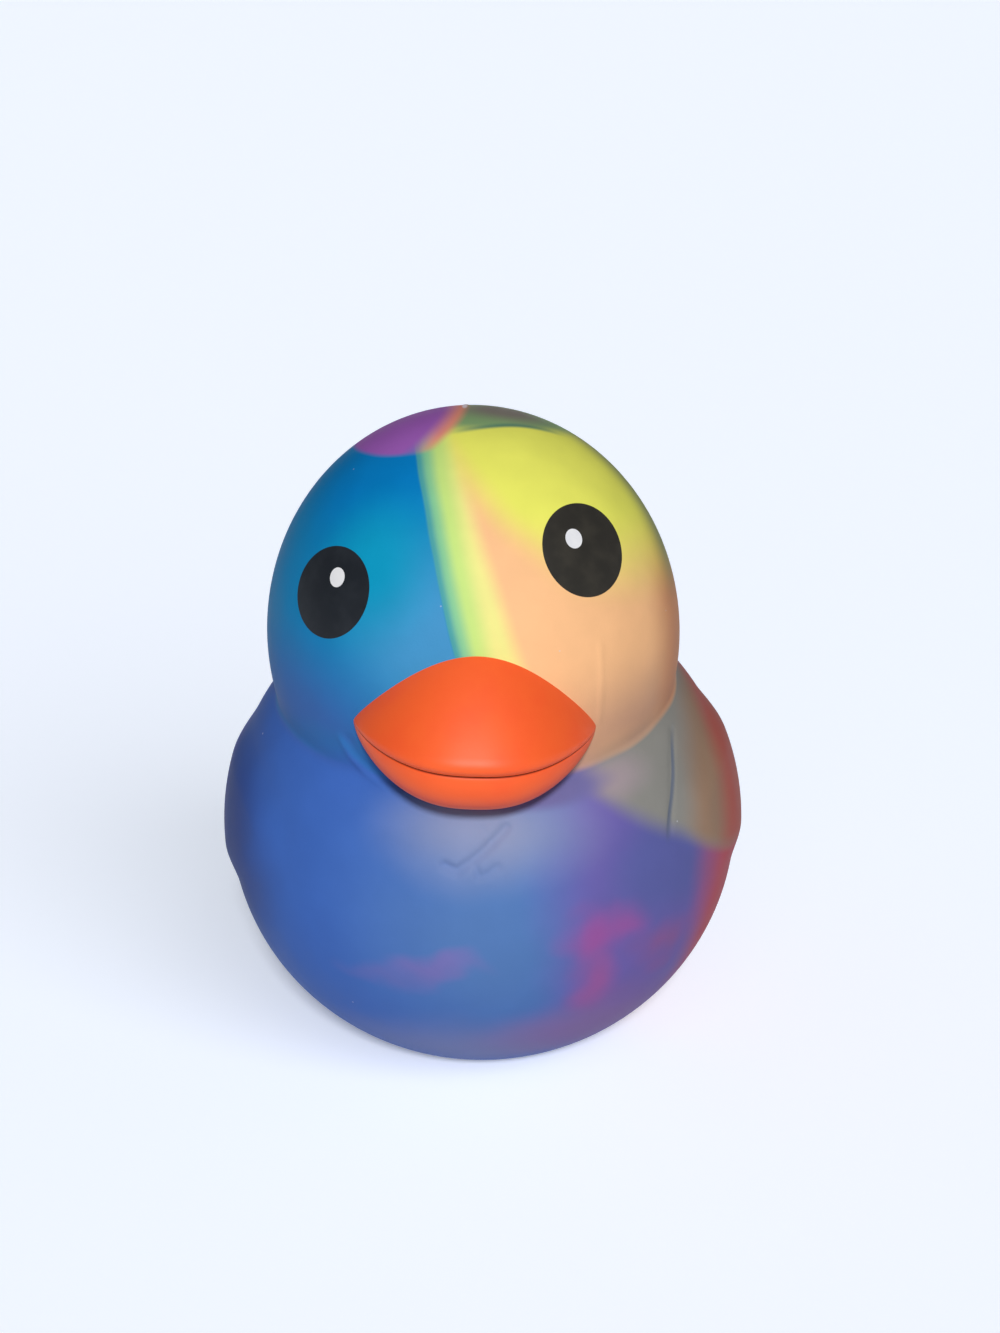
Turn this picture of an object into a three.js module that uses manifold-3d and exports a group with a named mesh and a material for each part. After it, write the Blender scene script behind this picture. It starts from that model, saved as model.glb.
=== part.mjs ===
// Squishy duck: one piece of moulded foam with a round body, a round head, two low wings, an upturned
// tail, a flat bill and a small flat base. Millimetres, +Z up, the duck faces -Y and stands on Z = 0.
import * as THREE from 'three';
import { mergeVertices } from 'three/addons/utils/BufferGeometryUtils.js';
import Module from 'manifold-3d';

const wasm = await Module();
wasm.setup();
const { Manifold, Mesh } = wasm;

// Body: an ellipsoid with a flat cut under it
const BODY_HALF_WIDTH = 31;
const BODY_HALF_LENGTH = 31.2;
const BODY_HALF_HEIGHT = 29.8;
const BASE_CUT = 1.9;

// Head: an ellipsoid sunk into the body, its place measured from the body's centre
const HEAD_HALF_WIDTH = 24.4;
const HEAD_HALF_LENGTH = 25;
const HEAD_HALF_HEIGHT = 26.7;
const HEAD_RISE = 25.5;
const HEAD_FORWARD = 5;
const NECK_BLEND = 2.6;

// Tail: a flattened ellipsoid turned up at the back, its place measured from the body's centre
const TAIL_HALF_WIDTH = 11;
const TAIL_HALF_LENGTH = 12.5;
const TAIL_HALF_HEIGHT = 6;
const TAIL_BACK = 27.5;
const TAIL_RISE = 7.6;
const TAIL_TILT = THREE.MathUtils.degToRad(35);
const TAIL_BLEND = 6;

// Wings: soft swells on the sides of the body that run out towards their outline
const WING_PROUD = 0.8;
const WING_RUNOUT = 5;
const WING_BACK = 2;
const WING_RISE = 5;
const WING_FRONT_REACH = 23;
const WING_REAR_REACH = 20;
const WING_UPPER_HEIGHT = 9.5;
const WING_LOWER_HEIGHT = 11;
const WING_TIP_RISE = 5;

// Bill: one section carried from corner to corner and shrinking towards both
const BILL_HALF_WIDTH = 13.6;
const BILL_DROP = 4.3;
const BILL_SINK = 0.4;
const BILL_ROOT = 6;
const BILL_CROWN = 11.6;
const BILL_REACH = 13;
const BILL_DEPTH = 8.2;
const BILL_BLUNTNESS = 0.14;
const LIP_RISE = 0.6;
const LIP_ROUND = 1;
const MOUTH_DROP = 1.75;
const MOUTH_DEPTH = 0.6;
const MOUTH_WIDTH = 0.5;

// Fineness of the faceted surfaces
const SKIN_DETAIL = 19;
const TAIL_CROWDING = 0.6;
const CURVE_STEPS = 12;
const BILL_STATIONS = 30;

const FAR = 4 * (BODY_HALF_WIDTH + BODY_HALF_LENGTH + BODY_HALF_HEIGHT);
const X_AXIS = new THREE.Vector3(1, 0, 0);

const bodyCentre = new THREE.Vector3(0, 0, BODY_HALF_HEIGHT - BASE_CUT);
const headCentre = bodyCentre.clone().add(new THREE.Vector3(0, -HEAD_FORWARD, HEAD_RISE));
const tailCentre = bodyCentre.clone().add(new THREE.Vector3(0, TAIL_BACK, TAIL_RISE));

/** An ellipsoid, tilted about X, that can tell about how far a point lies outside it. */
class Ellipsoid {
  /**
   * @param {THREE.Vector3} centre
   * @param {THREE.Vector3} radii
   * @param {number} tilt turn about X, in radians
   */
  constructor(centre, radii, tilt = 0) {
    this.centre = centre;
    this.radii = radii;
    this.tilt = tilt;
  }

  /**
   * @param {THREE.Vector3} point
   * @returns {number} distance outside the surface, negative inside
   */
  distance(point) {
    const local = point.clone().sub(this.centre).applyAxisAngle(X_AXIS, -this.tilt);
    const scaled = local.divide(this.radii);
    const level = scaled.length();
    const slope = scaled.clone().divide(this.radii).length();
    return slope > 0 ? (level * (level - 1)) / slope : -Math.min(...this.radii.toArray());
  }
}

const bodyRadii = new THREE.Vector3(BODY_HALF_WIDTH, BODY_HALF_LENGTH, BODY_HALF_HEIGHT);
const headRadii = new THREE.Vector3(HEAD_HALF_WIDTH, HEAD_HALF_LENGTH, HEAD_HALF_HEIGHT);
const tailRadii = new THREE.Vector3(TAIL_HALF_WIDTH, TAIL_HALF_LENGTH, TAIL_HALF_HEIGHT);
const body = new Ellipsoid(bodyCentre, bodyRadii);
const head = new Ellipsoid(headCentre, headRadii);
const tail = new Ellipsoid(tailCentre, tailRadii, TAIL_TILT);

/** The smaller of two distances, rounded over where they are within a blend of each other. */
function blendedMinimum(first, second, blend) {
  const share = THREE.MathUtils.clamp(0.5 + (0.5 * (second - first)) / blend, 0, 1);
  return THREE.MathUtils.lerp(second, first, share) - blend * share * (1 - share);
}

/**
 * About how far a point lies outside a wing's outline in the side view. The outline reaches differently in
 * front and behind and differently up and down, and its middle line rises towards the tip behind.
 */
function wingOutlineDistance(point) {
  const back = point.y - bodyCentre.y - WING_BACK;
  const reach = back < 0 ? WING_FRONT_REACH : WING_REAR_REACH;
  const along = back / reach;
  const up = point.z - bodyCentre.z - WING_RISE - WING_TIP_RISE * Math.max(0, along) ** 2;
  const height = up < 0 ? WING_LOWER_HEIGHT : WING_UPPER_HEIGHT;
  const level = Math.hypot(along, up / height);
  const slope = Math.hypot(along / reach, up / height ** 2);
  return slope > 0 ? (level * (level - 1)) / slope : -WING_LOWER_HEIGHT;
}

/** How far the body swells at a point: nothing at a wing's outline, the wing's full height further in. */
function wingSwell(point) {
  return WING_PROUD * THREE.MathUtils.smoothstep(-wingOutlineDistance(point), 0, WING_RUNOUT);
}

/** About how far a point lies outside the winged body, head and tail blended into one. */
function skinDistance(point) {
  const winged = body.distance(point) - wingSwell(point);
  const torso = blendedMinimum(winged, head.distance(point), NECK_BLEND);
  return blendedMinimum(torso, tail.distance(point), TAIL_BLEND);
}

/** The point where a ray from the core leaves the skin, found by halving the stretch it lies in. */
function skinPoint(core, direction) {
  let inside = 0;
  let outside = FAR;
  let middle = outside / 2;
  while (inside < middle && middle < outside) {
    const point = core.clone().addScaledVector(direction, middle);
    if (skinDistance(point) < 0) {
      inside = middle;
    } else {
      outside = middle;
    }
    middle = (inside + outside) / 2;
  }
  return core.clone().addScaledVector(direction, inside);
}

/** A ball of even facets with shared corners, each corner moved to the place the rule gives it. */
function movedBall(detail, rule) {
  const ball = new THREE.IcosahedronGeometry(1, detail);
  ball.deleteAttribute('normal');
  ball.deleteAttribute('uv');
  const corners = mergeVertices(ball);
  const position = corners.getAttribute('position');
  const direction = new THREE.Vector3();
  for (let i = 0; i < position.count; i += 1) {
    direction.fromBufferAttribute(position, i).normalize();
    position.setXYZ(i, ...rule(direction).toArray());
  }
  return corners;
}

/** A closed geometry as a solid, without the facets that have lost a side. */
function solidOf(geometry) {
  const shared = geometry.clone();
  shared.deleteAttribute('normal');
  shared.deleteAttribute('uv');
  const merged = mergeVertices(shared);
  const index = merged.getIndex().array;
  const kept = [];
  for (let i = 0; i < index.length; i += 3) {
    const [a, b, c] = [index[i], index[i + 1], index[i + 2]];
    if (a !== b && b !== c && c !== a) {
      kept.push(a, b, c);
    }
  }
  const vertProperties = Float32Array.from(merged.getAttribute('position').array);
  return new Manifold(new Mesh({ numProp: 3, vertProperties, triVerts: Uint32Array.from(kept) }));
}

/** A solid as a flat-shaded geometry with shared corners. */
function geometryOf(solid) {
  const mesh = solid.getMesh();
  const geometry = new THREE.BufferGeometry();
  geometry.setAttribute('position', new THREE.BufferAttribute(mesh.vertProperties, 3));
  geometry.setIndex(new THREE.BufferAttribute(mesh.triVerts, 1));
  geometry.computeVertexNormals();
  return geometry;
}

/** Head, winged body and tail as one solid skin around a core in the neck, with finer facets at the tail. */
function makeTorso() {
  const core = bodyCentre.clone().lerp(headCentre, 0.4);
  const tailTip = new THREE.Vector3(0, TAIL_HALF_LENGTH, 0).applyAxisAngle(X_AXIS, TAIL_TILT).add(tailCentre);
  const tailward = tailTip.sub(core).normalize();
  const rule = (direction) => {
    const pull = TAIL_CROWDING * Math.max(0, direction.dot(tailward)) ** 8;
    return skinPoint(core, direction.clone().addScaledVector(tailward, pull).normalize());
  };
  return solidOf(movedBall(SKIN_DETAIL, rule));
}

/** The bill's middle section, as reach ahead of the corner line and height above it. */
function billSection() {
  const lipEnd = BILL_REACH - 0.5 * MOUTH_WIDTH;
  const section = new THREE.Path();
  section.moveTo(-BILL_ROOT, 0.8 * BILL_CROWN);
  section.lineTo(0, BILL_CROWN);
  section.quadraticCurveTo(0.58 * BILL_REACH, 0.76 * BILL_CROWN, BILL_REACH, LIP_RISE);
  section.quadraticCurveTo(
    BILL_REACH + LIP_ROUND,
    LIP_RISE - 1.5 * LIP_ROUND,
    BILL_REACH,
    0.5 * MOUTH_WIDTH - MOUTH_DROP,
  );
  section.lineTo(BILL_REACH - MOUTH_DEPTH, -MOUTH_DROP);
  section.lineTo(lipEnd, -0.5 * MOUTH_WIDTH - MOUTH_DROP);
  section.quadraticCurveTo(BILL_REACH, -0.9 * BILL_DEPTH, 0.24 * BILL_REACH, -BILL_DEPTH);
  section.lineTo(-BILL_ROOT, -0.9 * BILL_DEPTH);
  return section.getPoints(CURVE_STEPS);
}

/** Size of the bill's section at a share of its half width: an arch with short blunt ends. */
function billSwell(share) {
  const arch = 1 - Math.abs(share) ** 1.9;
  const blunt = Math.sqrt(1 - share ** 12);
  return THREE.MathUtils.lerp(arch, blunt, BILL_BLUNTNESS);
}

/** Depth of the head's front surface behind the head's foremost plane, at the bill's corners. */
function cornerPlane() {
  const across = BILL_HALF_WIDTH / HEAD_HALF_WIDTH;
  const down = BILL_DROP / HEAD_HALF_HEIGHT;
  return headCentre.y - HEAD_HALF_LENGTH * Math.sqrt(1 - across ** 2 - down ** 2) + BILL_SINK;
}

/** The bill: its section at stations from corner to corner, closed to a point at both ends. */
function makeBill() {
  const section = billSection();
  const front = cornerPlane();
  const level = headCentre.z - BILL_DROP;
  const positions = [];
  const indices = [];
  for (let i = 0; i <= BILL_STATIONS; i += 1) {
    const share = -Math.cos((Math.PI * i) / BILL_STATIONS);
    const size = billSwell(share);
    for (const point of section) {
      positions.push(BILL_HALF_WIDTH * share, front - size * point.x, level + size * point.y);
    }
  }
  for (let i = 0; i < BILL_STATIONS; i += 1) {
    for (let j = 0; j < section.length; j += 1) {
      const next = (j + 1) % section.length;
      const [a, b] = [i * section.length + j, i * section.length + next];
      const [c, d] = [a + section.length, b + section.length];
      indices.push(a, b, c, b, d, c);
    }
  }
  const geometry = new THREE.BufferGeometry();
  geometry.setAttribute('position', new THREE.Float32BufferAttribute(positions, 3));
  geometry.setIndex(indices);
  return solidOf(geometry);
}

/** Everything joined into one moulding and cut flat where it stands. */
function makeDuck() {
  return Manifold.union(makeTorso(), makeBill()).trimByPlane([0, 0, 1], 0);
}

const foam = new THREE.MeshStandardMaterial({ color: 0x3f68b4, roughness: 0.6, metalness: 0 });
const duck = new THREE.Mesh(geometryOf(makeDuck()), foam);
duck.name = 'duck_body';

const root = new THREE.Group();
root.name = 'squishy_duck';
root.add(duck);

export default root;
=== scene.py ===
"""A squishy foam duck, dressed: marbled skin, painted bill, printed eyes, and a plain studio.

Lengths in this file are millimetres, in the CAD frame: +Z up, the duck faces -Y, its base on Z = 0.
Meshes are written in metres.
"""

from __future__ import annotations

import logging
import math
from dataclasses import dataclass, field
from enum import Enum
from typing import Any, Sequence

import bpy
import numpy as np
from mathutils import Matrix, Vector

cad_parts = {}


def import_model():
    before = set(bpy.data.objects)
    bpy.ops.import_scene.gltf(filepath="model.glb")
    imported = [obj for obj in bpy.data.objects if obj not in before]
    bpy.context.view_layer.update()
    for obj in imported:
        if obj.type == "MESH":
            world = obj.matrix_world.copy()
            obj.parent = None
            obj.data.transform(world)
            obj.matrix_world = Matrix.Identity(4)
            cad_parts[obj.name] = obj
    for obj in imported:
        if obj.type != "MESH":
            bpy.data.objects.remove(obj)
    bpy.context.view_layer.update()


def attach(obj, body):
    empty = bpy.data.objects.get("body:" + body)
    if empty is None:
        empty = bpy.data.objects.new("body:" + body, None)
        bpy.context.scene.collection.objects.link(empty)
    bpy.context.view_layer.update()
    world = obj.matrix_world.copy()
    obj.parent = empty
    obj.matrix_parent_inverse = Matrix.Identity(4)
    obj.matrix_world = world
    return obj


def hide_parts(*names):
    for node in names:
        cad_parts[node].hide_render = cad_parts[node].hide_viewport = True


LOG = logging.getLogger("squishy_duck")

MM = 0.001
PHOTO_SIZE = (1000, 1333)
CAD_NODE = "duck_body"
ROOT_BODY = "root"
MOUTH_GROOVE_SHADE = "mouth_groove_shade"
LEAST_SLOPE = 1e-9
BUMP_DEPTH = 0.1

Pair = tuple[float, float]
Triple = tuple[float, float, float]
SceneObject = bpy.types.Object
Tree = bpy.types.ShaderNodeTree
Node = bpy.types.Node
Socket = bpy.types.NodeSocket


class Slot(str, Enum):
    """Names of the record's material slots, one for each kind of finish on the pieces."""

    FOAM = "foam_skin"
    BILL = "bill_paint"
    EYE = "eye_print"
    GLINT = "eye_glint"


def linear(code: str) -> tuple[float, float, float, float]:
    """Turn a colour as it is seen on a screen into the linear colour a shader takes.

    The screen's curve is straight near black and a power of 2.4 above that.

    Args:
        code: A colour such as "#3a63b2".

    Returns:
        Linear red, green, blue and an alpha of one.
    """
    seen = np.array([int(code[i:i + 2], 16) for i in (1, 3, 5)]) / 255.0
    light = np.where(seen <= 0.04045, seen / 12.92, ((seen + 0.055) / 1.055) ** 2.4)
    return (*light.tolist(), 1.0)


def blended_minimum(first: np.ndarray, second: np.ndarray, blend: float) -> np.ndarray:
    """The smaller of two distances, rounded over where they are within a blend of each other.

    Args:
        first: Distances to one shape.
        second: Distances to the other shape.
        blend: How far apart the distances may be and still be rounded together.

    Returns:
        Distances to the two shapes grown into one.
    """
    share = np.clip(0.5 + 0.5 * (second - first) / blend, 0.0, 1.0)
    return second + (first - second) * share - blend * share * (1.0 - share)


def blended_maximum(first: np.ndarray, second: np.ndarray, blend: float) -> np.ndarray:
    """The larger of two distances with a rounded rim: the overlap of two shapes."""
    return -blended_minimum(-first, -second, blend)


def path_distance(points: np.ndarray, path: np.ndarray) -> np.ndarray:
    """Distance from points to an open path of straight stretches.

    Args:
        points: Points, one a row.
        path: The path's corners, one a row.

    Returns:
        The distance to the nearest stretch, for each point.
    """
    start, run = path[:-1], np.diff(path, axis=0)
    along = ((points[:, None] - start) * run).sum(2) / (run * run).sum(1)
    nearest = start + np.clip(along, 0.0, 1.0)[..., None] * run
    return np.linalg.norm(points[:, None] - nearest, axis=2).min(1)


@dataclass(frozen=True)
class Ellipsoid:
    """An ellipsoid, tilted about X."""

    centre: Triple
    radii: Triple
    tilt: float = 0.0

    def distance(self, points: np.ndarray) -> np.ndarray:
        """About how far points lie outside: level times level less one, over the level's slope.

        Args:
            points: Points, one a row.

        Returns:
            Distances, negative inside.
        """
        cos, sin = math.cos(self.tilt), math.sin(self.tilt)
        turn = np.array([[1, 0, 0], [0, cos, -sin], [0, sin, cos]])
        scaled = (points - np.array(self.centre)) @ turn / np.array(self.radii)
        level = np.linalg.norm(scaled, axis=1)
        slope = np.linalg.norm(scaled / np.array(self.radii), axis=1)
        return level * (level - 1.0) / np.maximum(slope, LEAST_SLOPE)


def closed_stack(
    name: str,
    rings: np.ndarray,
    first_tip: np.ndarray,
    last_tip: np.ndarray,
    sharp_rings: Sequence[int] = (),
) -> SceneObject:
    """Make a smooth closed mesh of rings, each joined to the next, with a tip at both ends.

    Args:
        name: The piece's name.
        rings: Ring points in millimetres, as rings by corners by three, turning outwards.
        first_tip: The point that closes the first ring.
        last_tip: The point that closes the last ring.
        sharp_rings: Numbers of rings that stay crisp edges.

    Returns:
        The new object, linked to the scene, at the origin.
    """
    count, around = rings.shape[:2]
    points = np.concatenate([rings.reshape(-1, 3), first_tip[None], last_tip[None]]) * MM
    corner = np.arange(count * around).reshape(count, around)
    beside = np.roll(corner, -1, axis=1)
    quads = np.stack([corner[:-1], corner[1:], beside[1:], beside[:-1]], axis=-1).reshape(-1, 4)
    first, last = count * around, count * around + 1
    head = np.stack([np.full(around, first), corner[0], beside[0]], axis=-1)
    tail = np.stack([np.full(around, last), beside[-1], corner[-1]], axis=-1)
    mesh = bpy.data.meshes.new(name)
    mesh.from_pydata(points.tolist(), [], quads.tolist() + head.tolist() + tail.tolist())
    mesh.polygons.foreach_set("use_smooth", np.ones(len(mesh.polygons), dtype=bool))
    mesh.update()
    ends = np.empty(2 * len(mesh.edges), dtype=np.int32)
    mesh.edges.foreach_get("vertices", ends)
    ring = ends.reshape(-1, 2) // around
    crisp = (ring[:, 0] == ring[:, 1]) & np.isin(ring[:, 0], np.array(sharp_rings, dtype=np.int32))
    mesh.edges.foreach_set("use_edge_sharp", crisp)
    piece = bpy.data.objects.new(name, mesh)
    bpy.context.scene.collection.objects.link(piece)
    return piece


@dataclass(frozen=True)
class DuckForm:
    """The moulded form, as one distance: body, head and tail grown together, with wings as soft swells."""

    body: Ellipsoid = Ellipsoid((0.0, 0.0, 27.9), (31.0, 31.2, 29.8))
    head: Ellipsoid = Ellipsoid((0.0, -5.0, 53.4), (24.4, 25.0, 26.7))
    tail: Ellipsoid = Ellipsoid((0.0, 27.5, 35.5), (11.0, 12.5, 6.0), math.radians(35))
    neck_blend: float = 0.9
    tail_blend: float = 6.0
    wing_proud: float = 0.8
    wing_runout: float = 5.0
    wing_middle: Pair = (2.0, 32.9)
    wing_front_reach: float = 23.0
    wing_rear_reach: float = 20.0
    wing_upper_height: float = 9.5
    wing_lower_height: float = 11.0
    wing_tip_rise: float = 5.0
    base_rim: float = 1.2

    def wing_outline(self, points: np.ndarray) -> np.ndarray:
        """Distance in the side view to a wing's outline.

        The outline is an ellipse of other reach in front and behind and other height above and below,
        on a middle line that rises with the square of the way to the tip.

        Args:
            points: Points, one a row.

        Returns:
            Distances, negative inside the outline.
        """
        back = points[:, 1] - self.wing_middle[0]
        reach = np.where(back < 0.0, self.wing_front_reach, self.wing_rear_reach)
        along = back / reach
        up = points[:, 2] - self.wing_middle[1] - self.wing_tip_rise * np.maximum(along, 0.0) ** 2
        height = np.where(up > 0.0, self.wing_upper_height, self.wing_lower_height)
        level = np.hypot(along, up / height)
        slope = np.hypot(along / reach, up / height ** 2)
        return level * (level - 1.0) / np.maximum(slope, LEAST_SLOPE)

    def wing_swell(self, points: np.ndarray) -> np.ndarray:
        """How far the body swells: nothing at a wing's outline, smoothly up to its full height inside."""
        share = np.clip(-self.wing_outline(points) / self.wing_runout, 0.0, 1.0)
        return self.wing_proud * share * share * (3.0 - 2.0 * share)

    def distance(self, points: np.ndarray) -> np.ndarray:
        """About how far points lie outside the moulding, without its bill.

        Args:
            points: Points, one a row.

        Returns:
            Distances, negative inside.
        """
        winged = self.body.distance(points) - self.wing_swell(points)
        torso = blended_minimum(winged, self.head.distance(points), self.neck_blend)
        whole = blended_minimum(torso, self.tail.distance(points), self.tail_blend)
        return blended_maximum(whole, -points[:, 2], self.base_rim)

    def face_depth(self, across: np.ndarray, height: np.ndarray) -> np.ndarray:
        """Y of the head's front: its centre less the half length times the root of what is left.

        Args:
            across: X of the points.
            height: Z of the points.

        Returns:
            Y of the head's front surface there.
        """
        half_width, half_length, half_height = self.head.radii
        left = 1.0 - (across / half_width) ** 2 - ((height - self.head.centre[2]) / half_height) ** 2
        return self.head.centre[1] - half_length * np.sqrt(np.maximum(left, 0.0))

    def face_normal(self, points: np.ndarray) -> np.ndarray:
        """Outward directions of the head's ellipsoid at points on it, one a row."""
        slope = (points - np.array(self.head.centre)) / np.array(self.head.radii) ** 2
        return slope / np.linalg.norm(slope, axis=-1, keepdims=True)


@dataclass(frozen=True)
class Crease:
    """A shallow fold in the skin, or a ridge if its depth is negative, on a path seen from the front."""

    path: tuple[Pair, ...]
    depth: float
    half_width: float

    def groove(self, points: np.ndarray) -> np.ndarray:
        """How deep the fold is at points: a bell round the path, on the front only."""
        away = path_distance(points[:, [0, 2]], np.array(self.path))
        return np.where(points[:, 1] < 0.0, self.depth * np.exp(-((away / self.half_width) ** 2)), 0.0)


SKIN_MARKS = (
    Crease(((-4.0, 34.0), (-2.7, 33.4), (-1.2, 34.3), (0.3, 35.4), (1.7, 36.6), (3.0, 37.8)), 0.5, 0.5),
    Crease(((-0.5, 33.5), (-0.3, 32.6), (0.7, 32.9), (1.9, 33.7)), 0.35, 0.4),
    Crease(((0.3, 37.9), (1.1, 36.4), (1.5, 35.9)), 0.12, 0.4),
    Crease(((22.7, 43.0), (22.4, 40.5), (22.2, 37.7), (21.9, 35.1), (21.7, 33.2)), 0.22, 0.3),
    Crease(((-15.4, 47.4), (-14.3, 45.0), (-12.7, 43.1), (-10.8, 42.0), (-8.8, 41.4)), -0.14, 0.35),
    Crease(((-14.2, 47.4), (-13.2, 45.4), (-11.9, 44.0), (-10.2, 43.0), (-8.4, 42.4)), 0.2, 0.6),
    Crease(((14.4, 57.5), (14.4, 53.5), (14.0, 48.7)), -0.1, 0.3),
)


@dataclass
class FoamSkin:
    """The foam moulding's skin: a grid of rays from a core in the neck, each stopped at the form."""

    form: DuckForm
    core: Triple = (0.0, -2.0, 38.2)
    around: int = 388
    rings: int = 250
    front_crowding: float = 0.35
    longest_ray: float = 90.0
    halvings: int = 36
    nub_place: Triple = (0.2, -2.4, 80.0)
    nub_height: float = 0.3
    nub_radius: float = 0.55
    creases: tuple[Crease, ...] = SKIN_MARKS

    def relief(self, points: np.ndarray) -> np.ndarray:
        """Height of the small marks on the skin: the nub on the crown less the folds.

        Args:
            points: Points, one a row.

        Returns:
            Heights above the plain form.
        """
        away = np.linalg.norm(points - np.array(self.nub_place), axis=1)
        height = self.nub_height * np.exp(-((away / self.nub_radius) ** 2))
        for crease in self.creases:
            height = height - crease.groove(points)
        return height

    def directions(self) -> np.ndarray:
        """Ray directions, as rings by corners by three, closer together towards the front.

        The turn is the even turn less a share of its sine, counted from straight ahead; the fall from
        the top goes in even steps.

        Returns:
            Unit directions.
        """
        even = np.linspace(-math.pi, math.pi, self.around, endpoint=False)
        turn = even - self.front_crowding * np.sin(even)
        fall = np.linspace(0.0, math.pi, self.rings + 2)[1:-1, None]
        flat = np.sin(fall)
        return np.stack([flat * np.sin(turn), -flat * np.cos(turn), np.cos(fall) + 0.0 * turn], axis=-1)

    def reach(self, directions: np.ndarray) -> np.ndarray:
        """Where rays from the core leave the skin, found by halving the stretch it lies in.

        Args:
            directions: Unit directions, one a row.

        Returns:
            Points on the skin, one a row.
        """
        core = np.array(self.core)
        inside = np.zeros(len(directions))
        outside = np.full(len(directions), self.longest_ray)
        for _ in range(self.halvings):
            middle = 0.5 * (inside + outside)
            points = core + middle[:, None] * directions
            under = self.form.distance(points) < self.relief(points)
            inside = np.where(under, middle, inside)
            outside = np.where(under, outside, middle)
        return core + inside[:, None] * directions

    def build(self) -> SceneObject:
        """Make the skin's mesh, standing for the CAD moulding."""
        directions = self.directions()
        rings = self.reach(directions.reshape(-1, 3)).reshape(directions.shape)
        top, bottom = self.reach(np.array([[0.0, 0.0, 1.0], [0.0, 0.0, -1.0]]))
        piece = closed_stack("duck_skin", rings, top, bottom)
        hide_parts(CAD_NODE)
        return piece


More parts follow.
